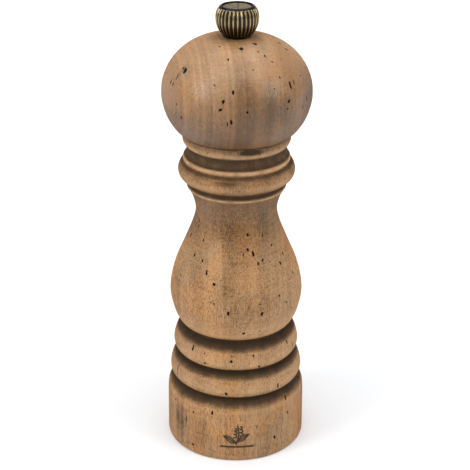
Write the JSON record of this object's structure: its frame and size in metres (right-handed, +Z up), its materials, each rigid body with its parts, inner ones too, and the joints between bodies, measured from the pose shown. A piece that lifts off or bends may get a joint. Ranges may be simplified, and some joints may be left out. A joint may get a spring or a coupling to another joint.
{
  "type": "pepper mill",
  "caption": "Turned wooden pepper mill: beaded body, ball head that turns the works, and a fluted brass knob that sets the grind.",
  "frame": {"origin": "centre of the foot, on the surface that the mill stands on", "axes": "+Z up along the turning axis, +Y towards the back of the pictured view, +X to its right"},
  "size_m": [0.057, 0.057, 0.18],
  "materials": {
    "stained_beech": "distressed, stained beech with a thin wax",
    "antique_brass": "antiqued brass, dark in the flutes",
    "brass": "plain machined brass",
    "zinc_steel": "zinc-plated steel",
    "hardened_steel": "case-hardened steel, dark",
    "spring_steel": "bright drawn wire"
  },
  "bodies": {
    "base": {"body": "stained_beech", "burr_ring": "hardened_steel", "bridge": "zinc_steel", "retaining_bar": "zinc_steel", "bar_screw_left": "zinc_steel", "bar_screw_right": "zinc_steel"},
    "bush": {"shaft_bush": "brass", "spring": "spring_steel"},
    "shaft": {"drive_shaft": "zinc_steel", "grinding_cone": "hardened_steel", "cone_clip": "spring_steel", "spring_washer": "zinc_steel"},
    "top": {"head": "stained_beech", "head_washer": "brass", "drive_plate": "zinc_steel", "plate_screw_left": "zinc_steel", "plate_screw_right": "zinc_steel"},
    "adjuster": {"knob": "antique_brass", "knob_cap": "antique_brass", "knob_insert": "brass"}
  },
  "joints": [
    {"name": "mill_turn", "type": "hinge", "parent": "base", "child": "bush", "pos_m": [0, 0, 0.033], "axis": [0, 0, 1], "continuous": true},
    {"name": "shaft_travel", "type": "slide", "parent": "bush", "child": "shaft", "axis": [0, 0, 1], "range_m": [-0.0006, 0.0004], "deforming": ["spring"]},
    {"name": "head_lift", "type": "slide", "parent": "bush", "child": "top", "axis": [0, 0, 1], "range_m": [0, 0.062]},
    {"name": "knob_turn", "type": "hinge", "parent": "top", "child": "adjuster", "pos_m": [0, 0, 0.175], "axis": [0, 0, 1], "range_deg": [-181, 271]}
  ],
  "couplings": [
    {"joint": "knob_turn", "follows": "shaft_travel", "rad_per_m": -7854}
  ]
}
